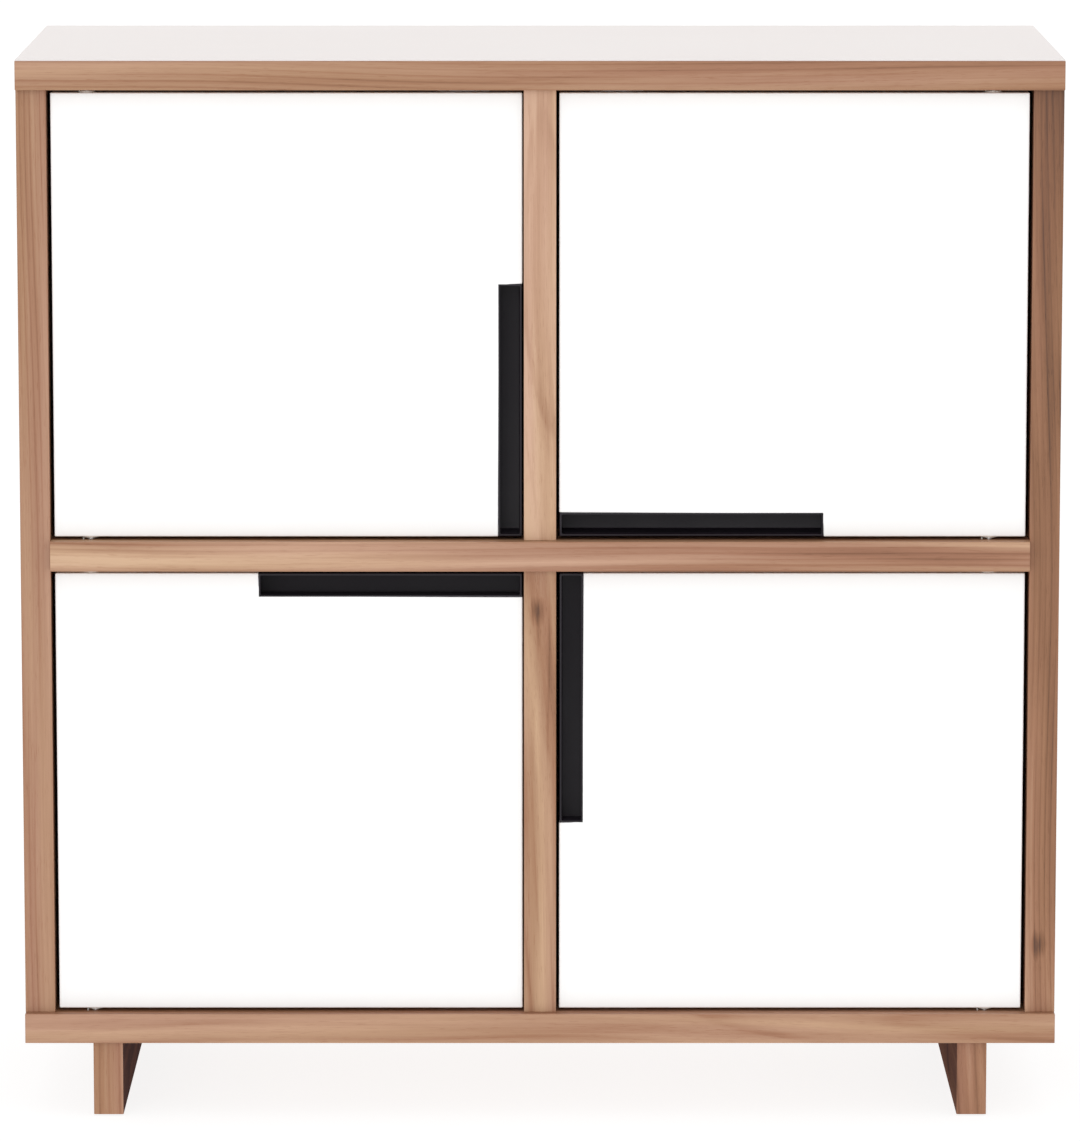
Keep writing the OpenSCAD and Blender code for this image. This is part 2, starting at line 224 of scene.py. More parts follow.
# Walnut from its darkest streak to its palest, each with how far along the tone scale it lies
WALNUT_TONES = [
    (0.00, (0.090, 0.037, 0.018)), (0.22, (0.204, 0.088, 0.040)), (0.50, (0.324, 0.158, 0.085)),
    (0.67, (0.392, 0.222, 0.132)), (0.86, (0.490, 0.302, 0.190)), (1.00, (0.580, 0.385, 0.255)),
]

# How dark a growth ring is from its start to the next ring's: it darkens slowly, and turns pale again fast
RING_PROFILE = [(0.0, (0.25,) * 3), (0.18, (0.0,) * 3), (0.60, (0.22,) * 3), (0.88, (1.0,) * 3),
                (1.0, (0.25,) * 3)]

# Walnut's noises: repeats per metre along, across and into the wood, then detail and roughness
WANDER = (1.3, 2.5, 2.5), 1.0
WAVER = (1.1, 5, 5), 1.0
UNEVEN = (1.3, 12, 12), 1.0
CLOUD = (1.4, 9, 9), 1.0
BROAD = (1.9, 62, 62), 2.0, 0.5
NARROW = (4.0, 330, 330), 2.0, 0.6
FIBRES = (14, 1300, 1300), 3.0, 0.6
PORES = (60, 1700, 1700), 2.0, 0.5
ROSY = (1.3, 34, 34), 2.0

# How much each noise moves the wood on the tone scale
CLOUD_WEIGHT, BROAD_WEIGHT, NARROW_WEIGHT, FIBRES_WEIGHT, PORES_WEIGHT = 0.45, 0.90, 0.20, 0.18, 0.13

WANDER_WIDTH = 0.05            # metres
WAVER_WIDTH = 0.03
RING_UNEVENNESS = 1.8          # rings
SEED_MOVE = (1.73, 0.37, 0.59)
ROSY_MOVE = (3.1, 1.7, 0.4)
YELLOW_WOOD, ROSY_WOOD = rgb(1.01, 1.0, 0.94), rgb(1.0, 0.945, 0.99)
KNOT_DARK = 0.34
KNOT_STRETCH = 0.55            # a knot's reach across the grain over its reach along it
# How much of a colour of painted shade is mixed into the wood
PAINTED_SHADE_SHARE = 0.5


def growth_rings(s, sheared, place, seed, lean, ring, pith):
    """How dark the late wood is, from rings round a leaning and slightly wavering centre line."""
    leaning = s.add("Mapping", {"Vector": sheared, "Location": (0, (seed % 1 - 0.5) * 0.2, pith * MM),
                                "Rotation": (0, lean, lean * 0.6)}).outputs[0]
    waver = s.vector("SUBTRACT", s.texture(place, *WAVER)["Color"], (0.5, 0.5, 0.5))
    waver = s.vector("MULTIPLY", waver, (0, WAVER_WIDTH, WAVER_WIDTH))
    radius = s.length(s.vector("MULTIPLY", s.vector("ADD", leaning, waver), (0, 1, 1)))
    uneven = s.math("MULTIPLY", s.noise(place, *UNEVEN), RING_UNEVENNESS)
    turns = s.math("MULTIPLY_ADD", radius, 1000.0 / ring, uneven)
    return s.ramp(s.math("FRACT", turns), RING_PROFILE, "EASE")


def knot_shade(s, place, grain, knot, streaks):
    """How much darker a knot, which is a place and a radius, makes the wood; the streaks fray its edge."""
    centre, size = knot
    stretch = [1 / size] * 3
    stretch[grain] = KNOT_STRETCH / size
    reach = s.length(s.vector("MULTIPLY", s.vector("SUBTRACT", place, centre), stretch))
    reach = s.math("ADD", reach, s.grey(streaks, -0.35, 0.35, 0.3, 0.7))
    return s.grey(reach, KNOT_DARK, 0.0, 0.35, 1.6)


def walnut(name, axes, seed, tone, drift, figure, slope, lean=0.03, ring=6.0, pith=70.0, ring_dark=0.20,
           ring_fade=0.2, gloss=0.42, painted_shade=None, knot=None):
    """Satin walnut. axes numbers the grain, across and depth axes. tone and drift place the wood on the tone
    scale in the middle of the board and add to it along the grain, per metre. figure is the contrast of the
    streaks and slope the angle of the grain. lean arches the rings, ring is their spacing and pith the depth
    of the tree's centre behind the face, in millimetres. ring_dark is how dark they are, which falls to
    ring_fade of it in places. gloss is the strength of the sheen, and a colour of painted shade, when
    given, is mixed in evenly. knot is a place and a radius."""
    s = Shader(name)
    object_place = s.place()
    parts = s.add("SeparateXYZ", {0: object_place}).outputs
    ordered = s.add("CombineXYZ", {i: parts[axis] for i, axis in enumerate(axes)}).outputs[0]
    along = parts[axes[0]]

    # the grain runs at a slight slope and wanders
    wander = s.noise(s.vector("ADD", ordered, (seed, seed, 0)), *WANDER)
    sloped = s.math("MULTIPLY", along, slope)
    shift = s.math("MULTIPLY_ADD", s.math("SUBTRACT", wander, 0.5), WANDER_WIDTH, sloped)
    sheared = s.vector("ADD", ordered, s.add("CombineXYZ", {1: shift, 2: shift}).outputs[0])
    place = s.vector("ADD", sheared, [seed * move for move in SEED_MOVE])

    # where the wood lies on the tone scale
    cloud, broad, narrow, fibres = (s.noise(place, *noise) for noise in (CLOUD, BROAD, NARROW, FIBRES))
    pores = s.grey(s.noise(place, *PORES), 0.0, 1.0, 0.60, 0.70)
    level = s.math("MULTIPLY_ADD", along, drift, tone)
    for wood, weight in ((cloud, CLOUD_WEIGHT * figure), (broad, BROAD_WEIGHT * figure),
                         (narrow, NARROW_WEIGHT), (fibres, FIBRES_WEIGHT)):
        level = s.math("MULTIPLY_ADD", s.math("SUBTRACT", wood, 0.5), weight, level)
    late = growth_rings(s, sheared, place, seed, lean, ring, pith)
    strength = s.grey(broad, ring_fade * ring_dark, ring_dark, 0.62, 0.38)
    level = s.math("SUBTRACT", level, s.math("MULTIPLY", late, strength))
    level = s.math("SUBTRACT", level, s.math("MULTIPLY", pores, PORES_WEIGHT))
    if knot:
        level = s.math("SUBTRACT", level, knot_shade(s, object_place, axes[0], knot, narrow))

    # its colour, which turns yellow and rosy in places, and the pores in its surface
    colour = s.ramp(level, WALNUT_TONES)
    rosy = s.noise(s.vector("ADD", place, ROSY_MOVE), *ROSY)
    colour = s.mix(1.0, colour, s.fade(rosy, 0.38, 0.62, YELLOW_WOOD, ROSY_WOOD), "MULTIPLY")
    # painted shade, where given, darkens the colour evenly
    if painted_shade:
        colour = s.mix(PAINTED_SHADE_SHARE, colour, painted_shade)
    height = s.math("SUBTRACT", s.math("MULTIPLY", fibres, 0.35), pores)
    rough = s.math("ADD", s.grey(fibres, 0.40, 0.50), s.math("MULTIPLY", pores, 0.10))
    return s.finish(Base_Color=colour, Roughness=rough, Specular_IOR_Level=gloss,
                    Normal=s.bump(height, strength=0.25, depth=0.06 * MM))


def lacquer(name, colour):
    """Sprayed satin lacquer: a faint orange peel and the least drift of tone."""
    s = Shader(name)
    place = s.place()
    drift = s.noise(place, scale=(3, 3, 3))
    peel = s.noise(place, scale=(420, 420, 420), roughness=0.6)
    speck = s.noise(place, scale=(2600, 2600, 2600), detail=1.0)
    base = s.fade(drift, 0.3, 0.7, scaled(colour, 0.985), colour)
    rough = s.math("ADD", s.grey(drift, low=0.33, high=0.39), s.grey(speck, low=-0.03, high=0.03))
    height = s.math("ADD", peel, s.math("MULTIPLY", speck, 0.15))
    return s.finish(Base_Color=base, Roughness=rough,
                    Normal=s.bump(height, strength=0.12, depth=0.1 * MM))


def laminate(name, colour):
    """Pale satin laminate: a very soft mottle and a fine leather-like texture."""
    s = Shader(name)
    place = s.place()
    cloud = s.noise(place, scale=(5, 8, 8), detail=3.0, roughness=0.6)
    grain = s.noise(place, scale=(900, 900, 900), roughness=0.6)
    base = s.fade(cloud, 0.35, 0.65, scaled(colour, 0.975), colour)
    base = s.fade(grain, 0.4, 0.7, base, rgb(0.5, 0.45, 0.4), most=0.04)
    rough = s.grey(cloud, low=0.36, high=0.44)
    return s.finish(Base_Color=base, Roughness=rough, Normal=s.bump(grain, strength=0.12, depth=0.05 * MM))


def moulded(name, colour, roughness=0.5, texture=2200.0):
    """Moulded plastic with a spark-eroded texture and slightly worn gloss."""
    s = Shader(name)
    place = s.place()
    spark = s.noise(place, scale=(texture,) * 3, roughness=0.7)
    rub = s.noise(place, scale=(25, 25, 25), detail=3.0)
    base = s.fade(rub, 0.3, 0.7, colour, scaled(colour, 1.18))
    worn = s.grey(rub, low=roughness - 0.06, high=roughness + 0.06)
    rough = s.math("ADD", worn, s.grey(spark, low=-0.05, high=0.05))
    return s.finish(Base_Color=base, Roughness=rough, Specular_IOR_Level=0.35,
                    Normal=s.bump(spark, strength=0.3, depth=0.08 * MM))


def metal(name, colour, roughness=0.3, brushed=(40, 1800, 1800)):
    """Plated or ground metal with fine directional scratches and a dull bloom."""
    s = Shader(name)
    place = s.place()
    scratch = s.noise(place, brushed, detail=3.0, roughness=0.6)
    bloom = s.noise(place, scale=(140, 140, 140), detail=3.0)
    base = s.fade(bloom, 0.35, 0.7, colour, scaled(colour, 0.86))
    ground = s.grey(scratch, low=roughness - 0.07, high=roughness + 0.07)
    rough = s.math("ADD", ground, s.grey(bloom, low=0.0, high=0.08))
    return s.finish(Base_Color=base, Roughness=rough, Metallic=1.0,
                    Normal=s.bump(scratch, strength=0.15, depth=0.03 * MM))


def beech(name):
    """Pale beech with short flecks along the dowel."""
    s = Shader(name)
    place = s.place()
    fleck = s.noise(place, scale=(900, 900, 120))
    tone = s.noise(place, scale=(60, 60, 12))
    base = s.fade(tone, 0.3, 0.7, rgb(0.66, 0.47, 0.28), rgb(0.56, 0.38, 0.22))
    base = s.fade(fleck, 0.55, 0.7, base, rgb(0.42, 0.26, 0.14), most=0.5)
    rough = s.grey(fleck, low=0.55, high=0.7)
    return s.finish(Base_Color=base, Roughness=rough, Normal=s.bump(fleck, strength=0.2, depth=0.1 * MM))


def floor_finish(name):
    """A matt pale floor that is lit partly from within, like a light table."""
    s = Shader(name)
    drift = s.noise(s.place(), scale=(0.8, 0.8, 0.8))
    base = s.mix(drift, rgb(0.18, 0.18, 0.18), rgb(0.20, 0.20, 0.20))
    return s.finish(Base_Color=base, Roughness=0.9, Specular_IOR_Level=0.1, Emission_Color=rgb(1, 1, 1),
                    Emission_Strength=0.86)


# ---------------------------------------------------------------- mesh tools

SLIVER = 0.004 * MM            # what a cut leaves that is shorter than this is cleaned away
SAME = 1e-6                    # metres between points that are one
CUT_PAST = 1.0 * MM            # how far a cutter stands out of the face that it cuts


def new_object(name, bm, materials=()):
    """Makes an object of a bmesh, which it frees, with its normals facing out."""
    bmesh.ops.recalc_face_normals(bm, faces=bm.faces)
    mesh = bpy.data.meshes.new(name)
    bm.to_mesh(mesh)
    bm.free()
    obj = bpy.data.objects.new(name, mesh)
    for material in materials:
        mesh.materials.append(material)
    SCENE.collection.objects.link(obj)
    return obj


def round_edges(bm, edges, width, segments):
    """Bevels the edges round, unless the width is nothing."""
    if width > 0:
        bmesh.ops.bevel(bm, geom=list(edges), offset=width, segments=segments, profile=0.5,
                        affect="EDGES", clamp_overlap=True)


def block(lo, hi, edge=0.0, segments=2):
    """A box between two corners with rounded edges."""
    bm = bmesh.new()
    lo, hi = Vector(lo), Vector(hi)
    bmesh.ops.create_cube(bm, size=1.0, matrix=Matrix.Translation((lo + hi) / 2)
                          @ Matrix.Diagonal((*(hi - lo), 1.0)))
    round_edges(bm, bm.edges, edge, segments)
    return bm


def prism(outline, axis, low, high):
    """A closed outline of (a, b) points, pushed along axis from low to high."""
    bm = bmesh.new()
    others = [i for i in range(3) if i != axis]

    def corner(point, level):
        co = [0.0, 0.0, 0.0]
        co[others[0]], co[others[1]], co[axis] = point[0], point[1], level
        return bm.verts.new(co)

    bottom = [corner(p, low) for p in outline]
    top = [corner(p, high) for p in outline]
    bm.faces.new(bottom)
    bm.faces.new(top)
    for i in range(len(outline)):
        j = (i + 1) % len(outline)
        bm.faces.new((bottom[i], bottom[j], top[j], top[i]))
    return bm


def lathe(profile, segments=48):
    """A ring or knob turned round Z from (radius, height) points; a point at radius 0 is a pole."""
    bm = bmesh.new()
    rings = []
    for radius, height in profile:
        if radius <= SAME:
            rings.append([bm.verts.new((0, 0, height))])
            continue
        rings.append([bm.verts.new((radius * math.cos(a), radius * math.sin(a), height))
                      for a in (2 * math.pi * k / segments for k in range(segments))])
    closed = profile[0][0] > SAME
    for i in range(len(rings) if closed else len(rings) - 1):
        a, b = rings[i], rings[(i + 1) % len(rings)]
        for k in range(segments):
            n = (k + 1) % segments
            face = [a[k % len(a)], a[n % len(a)], b[n % len(b)], b[k % len(b)]]
            bm.faces.new(list(dict.fromkeys(face)))
    return bm


def quarter(steps):
    """Angles from zero to a right angle."""
    return np.linspace(0, math.pi / 2, steps)


def boolean(obj, cutter, operation="DIFFERENCE"):
    """Cuts or joins the bmesh cutter, and keeps the result, without slivers, as the object's own mesh."""
    tool = new_object("cutter", cutter)
    modifier = obj.modifiers.new("boolean", "BOOLEAN")
    modifier.operation = operation
    modifier.solver = "EXACT"
    modifier.object = tool
    graph = bpy.context.evaluated_depsgraph_get()
    graph.update()
    mesh = bpy.data.meshes.new_from_object(obj.evaluated_get(graph), depsgraph=graph)
    obj.modifiers.clear()
    obj.data = mesh
    bpy.data.objects.remove(tool)
    bm = bmesh.new()
    bm.from_mesh(mesh)
    bmesh.ops.remove_doubles(bm, verts=bm.verts, dist=SLIVER)
    bmesh.ops.dissolve_degenerate(bm, edges=bm.edges, dist=SLIVER)
    bm.to_mesh(mesh)
    bm.free()


def finish_all(obj, material):
    """One material on the whole piece."""
    obj.data.materials.clear()
    obj.data.materials.append(material)


def smooth(obj, angle=35):
    """Smooth shading that keeps edges sharper than the angle."""
    for polygon in obj.data.polygons:
        polygon.use_smooth = True
    obj.data.set_sharp_from_angle(angle=math.radians(angle))
    return obj


def copies(name, master, places):
    """One mesh holding a copy of the master, which is removed, at each matrix."""
    bm = bmesh.new()
    for matrix in places:
        start = len(bm.verts)
        bm.from_mesh(master.data)
        bm.verts.ensure_lookup_table()
        bmesh.ops.transform(bm, matrix=matrix, verts=bm.verts[start:])
    mesh = bpy.data.meshes.new(name)
    bm.to_mesh(mesh)
    bm.free()
    for material in master.data.materials:
        mesh.materials.append(material)
    obj = bpy.data.objects.new(name, mesh)
    SCENE.collection.objects.link(obj)
    bpy.data.objects.remove(master)
    return smooth(obj)


def join(name, objects, finish):
    """One mesh of several, which are removed."""
    bm = bmesh.new()
    for obj in objects:
        bm.from_mesh(obj.data)
        bpy.data.objects.remove(obj)
    return new_object(name, bm, [finish])


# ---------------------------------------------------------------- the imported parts

END_REACH = 0.2 * MM           # points this near to an end of a fastener belong to that end
FLUSH = 0.05 * MM              # levels this close are the same


def islands(node):
    """The points of each separate solid of a CAD node, as arrays."""
    mesh = NODES[node].data
    co = np.array([v.co for v in mesh.vertices])
    _, same = np.unique(np.round(co, 6), axis=0, return_inverse=True)
    label = same.ravel().copy()
    ends = label[np.array([e.vertices[:] for e in mesh.edges])]
    merged = np.arange(label.max() + 1)
    while True:
        low = np.minimum(merged[ends[:, 0]], merged[ends[:, 1]])
        before = merged.copy()
        np.minimum.at(merged, ends[:, 0], low)
        np.minimum.at(merged, ends[:, 1], low)
        if (before == merged).all():
            break
    found = merged[label]
    return [co[found == k] for k in np.unique(found)]


def box_of(points):
    """The low and high corners of the points."""
    return Vector(points.min(0)), Vector(points.max(0))


def facing(axis, out):
    """The turn that points +Z along the axis, forwards or backwards."""
    direction = Vector([out if i == axis else 0 for i in range(3)])
    return direction.to_track_quat("Z", "Y").to_matrix().to_4x4()


def fastener_frame(points):
    """Where a screw or bolt sits: origin at the outer end of its head, +Z out of it."""
    lo, hi = points.min(0), points.max(0)
    axis = int(np.argmax(hi - lo))
    centre = (lo + hi) / 2
    reach = {}
    for end, level in ((-1, lo[axis]), (1, hi[axis])):
        near = points[np.abs(points[:, axis] - level) < END_REACH]
        reach[end] = np.linalg.norm(np.delete(near - centre, axis, 1), axis=1).max()
    out = 1 if reach[1] > reach[-1] else -1
    head = centre.copy()
    head[axis] = hi[axis] if out > 0 else lo[axis]
    return Matrix.Translation(head) @ facing(axis, out)


def stand_for(obj, *nodes):
    """The finished piece replaces its CAD nodes, which it hides, and takes their body."""
    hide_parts(*nodes)
    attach(obj, BODIES[nodes[0]])


# ---------------------------------------------------------------- boards

BOARD_EDGE = 0.6 * MM
LAMINATE_EDGE = 0.25 * MM
POCKET_RING = 0.12 * MM        # the clearance of a cam or bolt head in its pocket
POCKET_SEGMENTS = 64
BOLT_HEAD_DEPTH = 3.5 * MM
REBATE_SLACK = 0.5 * MM        # round the back panel
REBATED = ("top_panel", "bottom_panel", "left_side_panel", "right_side_panel")

# How each board looks. Its grain and thickness axes and a seed; then tone, drift, figure and slope for its
# broad faces and again for its front and back edges; then the tone of its ends
# Some tones are painted light falling from the left: the right side panel and the right leg are darker, the
# upper divider's front edge is paler, and the edge drifts darken the top and the shelf towards the right and
# the right side panel towards its top
BOARDS = {
    "top_panel": (X, Z, 1.31, (0.66, 0.0, 0.55, 0.006), (0.63, -0.14, 0.6, 0.010), 0.60),
    "bottom_panel": (X, Z, 2.72, (0.64, 0.0, 0.55, -0.006), (0.75, 0.02, 0.8, 0.014), 0.60),
    "middle_shelf": (X, Z, 3.71, (0.68, 0.0, 0.55, 0.006), (0.76, -0.06, 1.6, 0.018), 0.60),
    "left_side_panel": (Z, X, 4.61, (0.66, 0.0, 0.55, 0.010), (0.65, 0.0, 0.5, 0.012), 0.58),
    "right_side_panel": (Z, X, 5.23, (0.54, 0.0, 0.55, -0.010), (0.68, -0.65, 1.0, 0.016), 0.48),
    "upper_divider": (Z, X, 6.07, (0.70, 0.0, 0.55, 0.008), (0.97, 0.0, 0.8, 0.008), 0.66),
    "lower_divider": (Z, X, 7.44, (0.66, 0.0, 0.55, -0.008), (0.69, 0.0, 1.1, 0.030), 0.62),
    "left_leg_panel": (Y, X, 8.15, (0.50, 0.0, 0.55, 0.010), (0.65, 0.0, 0.7, 0.020), 0.40),
    "right_leg_panel": (Y, X, 9.36, (0.48, 0.0, 0.55, -0.010), (0.52, 0.0, 0.7, 0.020), 0.38),
    "back_panel": (Z, Y, 10.58, (0.56, 0.0, 0.55, 0.010), (0.52, 0.0, 1.0, 0.010), 0.52),
}
EDGE_SEED, END_SEED = 3.3, 5.9
END_FIGURE, END_SLOPE = 0.8, 0.01

# Painted shade on the legs' inner faces, which look under the cabinet: dark tones, less figure and a bluish
# dark colour mixed in
LEG_INNER_SHADE_TONES = {"left_leg_panel": 0.06, "right_leg_panel": 0.28}
LEG_INNER_FIGURE = 0.4
LEG_PAINTED_SHADE = rgb(0.045, 0.045, 0.060)

# The height of a knot on a board's front edge, above its foot or, where it is negative, below its top
KNOTS = {"right_side_panel": 0.060, "lower_divider": -0.036}
KNOT_RADIUS = 5 * MM
KNOT_LEFT = 2 * MM             # of the edge's middle

FACE_SLOT, EDGE_SLOT, END_SLOT, INNER_SLOT = range(4)


def knot_of(node):
    """The place and radius of the board's knot, or None."""
    if node not in KNOTS:
        return None
    lo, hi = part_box(node)
    height = lo.z + KNOTS[node] if KNOTS[node] > 0 else hi.z + KNOTS[node]
    return ((lo.x + hi.x) / 2 - KNOT_LEFT, lo.y, height), KNOT_RADIUS


def board_materials(node):
    """Walnut finishes: the broad faces, the front and back edges, the ends, and a leg's matt inner face,
    darkened with painted shade.
    """
    grain, thick, seed, face, edge, end_tone = BOARDS[node]
    across = 3 - grain - thick
    is_leg = node in LEG_INNER_SHADE_TONES
    edge_grain = Z if is_leg else grain
    edge_across = 3 - edge_grain - Y
    faces = walnut(node + "_face", (grain, across, thick), seed, *face, lean=0.035 if grain == Z else 0.02,
                   ring=5.5 + seed % 1.5, pith=38.0 + 10 * (seed % 2), ring_dark=0.22, ring_fade=0.6)
    edges = walnut(node + "_edge", (edge_grain, edge_across, Y), seed + EDGE_SEED, *edge, lean=0.01,
                   ring=8.0 if is_leg else 5.0, pith=110, knot=knot_of(node))
    ends = walnut(node + "_end", (across, thick, grain), seed + END_SEED, end_tone, 0.0, END_FIGURE,
                  END_SLOPE, ring=5.0, pith=90)
    materials = [faces, edges, ends]
    if is_leg:
        # a leg's inner face gets painted shade
        materials.append(walnut(node + "_inner_face_painted_shade", (grain, across, thick), seed, LEG_INNER_SHADE_TONES[node],
                                0.0, LEG_INNER_FIGURE, 0.0, gloss=0.0, painted_shade=LEG_PAINTED_SHADE))
    return materials


def assign_by_normal(obj, thick):
    """Gives the broad faces, the front and back edges and the ends their slots. Where there is a slot for it,
    the broad face that looks to the middle of the cabinet has its own, with painted shade."""
    for polygon in obj.data.polygons:
        n = [abs(c) for c in polygon.normal]
        largest = n.index(max(n))
        slot = FACE_SLOT if largest == thick else EDGE_SLOT if largest == Y else END_SLOT
        looks_in = polygon.normal.x * polygon.center.x < 0
        if slot == FACE_SLOT and looks_in and len(obj.data.materials) > INNER_SLOT:
            slot = INNER_SLOT
        polygon.material_index = slot


def pocket_cutters(node):
    """A cylinder for each cam or bolt head that lies flush in one of the board's faces."""
    lo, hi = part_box(node)
    found = []
    for kind in ("cam_discs", "leg_bolts"):
        for points in ISLANDS[kind]:
            a, b = box_of(points)
            centre = (a + b) / 2
            size = b - a
            axis = max(range(3), key=lambda i: size[i])
            sides = [i for i in range(3) if i != axis]
            inside = all(lo[i] - MM < centre[i] < hi[i] + MM for i in sides)
            flush_high = abs(b[axis] - hi[axis]) < FLUSH
            flush_low = abs(a[axis] - lo[axis]) < FLUSH
            if not inside or not (flush_high or flush_low) or a[axis] > hi[axis] or b[axis] < lo[axis]:
                continue
            depth = size[axis] if kind == "cam_discs" else BOLT_HEAD_DEPTH
            radius = max(size[i] for i in sides) / 2 + POCKET_RING
            mouth = centre.copy()
            mouth[axis] = b[axis] if flush_high else a[axis]
            bm = lathe([(0, -depth), (radius, -depth), (radius, CUT_PAST), (0, CUT_PAST)], POCKET_SEGMENTS)
            bm.transform(Matrix.Translation(mouth) @ facing(axis, 1 if flush_high else -1))
            found.append(bm)
    return found


def make_boards():
    """The walnut boards, with their rebates and pockets, and the pale sheet on the top."""
    back_lo, back_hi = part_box("back_panel")
    for node, settings in BOARDS.items():
        lo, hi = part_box(node)
        obj = new_object(node + "_veneered", block(lo, hi, BOARD_EDGE), board_materials(node))
        if node in REBATED:
            boolean(obj, block((back_lo.x - REBATE_SLACK, back_lo.y, back_lo.z - REBATE_SLACK),
                               (back_hi.x + REBATE_SLACK, cad_hi.y + CUT_PAST, back_hi.z + REBATE_SLACK)))
        for cutter in pocket_cutters(node):
            boolean(obj, cutter)
        assign_by_normal(obj, settings[1])
        stand_for(obj, node)

    lo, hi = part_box("top_laminate")
    sheet = new_object("top_laminate_sheet", block(lo, hi, LAMINATE_EDGE),
                       [laminate("pale_laminate", rgb(0.757, 0.697, 0.677))])
    stand_for(sheet, "top_laminate")


# ---------------------------------------------------------------- doors and their finger pulls

DOOR_EDGE = 1.0 * MM
POCKET_WALL = 2.0 * MM
POCKET_RIM = 9.0 * MM
POCKET_LIP = 1.6 * MM
TRAY_EDGE = 1.2 * MM
RIM_EDGE = 0.5 * MM
LIP_EDGE = 0.25 * MM
MOUTH_PAST = 6 * MM            # how far the mouth's cutter stands out of the lip at each end
PULL_STEP = 0.03 * MM          # a stagger, so that no two faces of the joined blocks lie in one plane
PULL_SMOOTH = 40


def door_outline(node):
    """The (x, z) outline of a notched door, the corner of its box that the notch takes away, and the notch's
    own inner corner."""
    lo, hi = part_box(node)
    face = np.array([v.co for v in NODES[node].data.vertices])
    face = face[np.abs(face[:, Y] - lo.y) < FLUSH][:, (X, Z)]
    mid_x = next(x for x in np.unique(np.round(face[:, 0], 5)) if lo.x + MM < x < hi.x - MM)
    mid_z = next(z for z in np.unique(np.round(face[:, 1], 5)) if lo.z + MM < z < hi.z - MM)
    corners = [(lo.x, lo.z), (hi.x, lo.z), (hi.x, hi.z), (lo.x, hi.z)]
    missing = next(c for c in corners if np.abs(face - c).max(1).min() > MM)
    outline = []
    for i, corner in enumerate(corners):
        if corner != missing:
            outline.append(corner)
            continue
        notch = [(corner[0], mid_z), (mid_x, mid_z), (mid_x, corner[1])]
        before_is_same_x = corners[i - 1][0] == corner[0]
        outline += notch if before_is_same_x else notch[::-1]
    return outline, missing, (mid_x, mid_z)


def make_door(name, finish):
    """Makes the notched leaf. Returns the corner that its notch takes away and the notch's inner corner."""
    node = name + "_door"
    lo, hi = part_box(node)
    outline, missing, inner = door_outline(node)
    bm = prism(outline, Y, lo.y, hi.y)
    round_edges(bm, bm.edges, DOOR_EDGE, 3)
    stand_for(new_object(node + "_lacquered", bm, [finish]), node)
    return missing, inner


def make_pull(name, missing, notch, finish):
    """The moulded cup in a notch: a lip through the door, a wider hollow behind it, and a fixing rim."""
    node = name + "_pull_pocket"
    lo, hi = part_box(node)
    door_lo, door_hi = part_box(name + "_door")
    free_high = abs(missing[0] - lo.x) > abs(missing[0] - hi.x)
    open_high = abs(missing[1] - lo.z) > abs(missing[1] - hi.z)
    far = (lo.x if free_high else hi.x, lo.z if open_high else hi.z)
    near = (hi.x if free_high else lo.x, hi.z if open_high else lo.z)
    inward = (1 if free_high else -1, 1 if open_high else -1)

    def shape(start, inset, near_inset, y_low, y_high, edge, segments):
        """A block from inset inside the start corner to near_inset inside the door's corner."""
        a = [start[i] + inward[i] * inset for i in (0, 1)]
        b = [near[i] - inward[i] * near_inset for i in (0, 1)]
        return block((min(a[0], b[0]), y_low, min(a[1], b[1])), (max(a[0], b[0]), y_high, max(a[1], b[1])),
                     edge, segments)

    back = door_hi.y
    rim_back = back + POCKET_WALL
    tray = shape(far, POCKET_RIM, 2 * PULL_STEP, back + PULL_STEP, hi.y, TRAY_EDGE, 3)
    rim = shape(far, 0, PULL_STEP, back, rim_back, RIM_EDGE, 2)
    lip = shape(notch, 0, 0, door_lo.y, rim_back - PULL_STEP, LIP_EDGE, 2)
    mouth = shape(notch, POCKET_LIP, POCKET_LIP, door_lo.y - MOUTH_PAST, back + MOUTH_PAST, TRAY_EDGE, 4)
    hollow = shape(far, POCKET_RIM + POCKET_WALL, POCKET_LIP + PULL_STEP, rim_back + PULL_STEP,
                   hi.y - POCKET_WALL, TRAY_EDGE, 4)
    cup = new_object(node + "_moulded", tray, [finish])
    boolean(cup, rim, "UNION")
    boolean(cup, lip, "UNION")
    boolean(cup, mouth)
    boolean(cup, hollow)
    finish_all(cup, finish)
    stand_for(smooth(cup, PULL_SMOOTH), node)


# ---------------------------------------------------------------- hardware

SCREW_HEAD = 2.9 * MM          # radius
SCREW_SHANK = 1.5 * MM
HEAD_HEIGHT = 1.5 * MM
DOME_HEIGHT = 0.72             # of the head's height
DOME_FULLNESS = 0.8            # under 1 flattens the dome's top
SCREW_POINT = 2.0 * MM
SCREW_SEGMENTS = 32
RECESS = (1.7 * MM, 0.35 * MM, 0.95 * MM)      # an arm's half length and half width, and the depth
SCREW_TURN = 0.7               # radians from one screw's cross to the next's

FLANGE = 1.2 * MM
BUSH_EDGE = 0.25 * MM
SLEEVE = 4.5 * MM              # radius

GLIDE_THICK = 1.5 * MM
GLIDE_TAPER, GLIDE_RISE = 0.8 * MM, 0.9 * MM
NAIL = 1.2 * MM                # radius
NAIL_POINT = 2.0 * MM

CATCH_EAR = 3.0 * MM
EAR_EDGE, CORE_EDGE = 0.6 * MM, 0.8 * MM
CATCH_MOUTH = 2.0 * MM         # how far the mouth's cutter stands out in front of the magnet
CATCH_SMOOTH = 40

STRIKE_CORNER, STRIKE_RIM = 1.5 * MM, 0.15 * MM


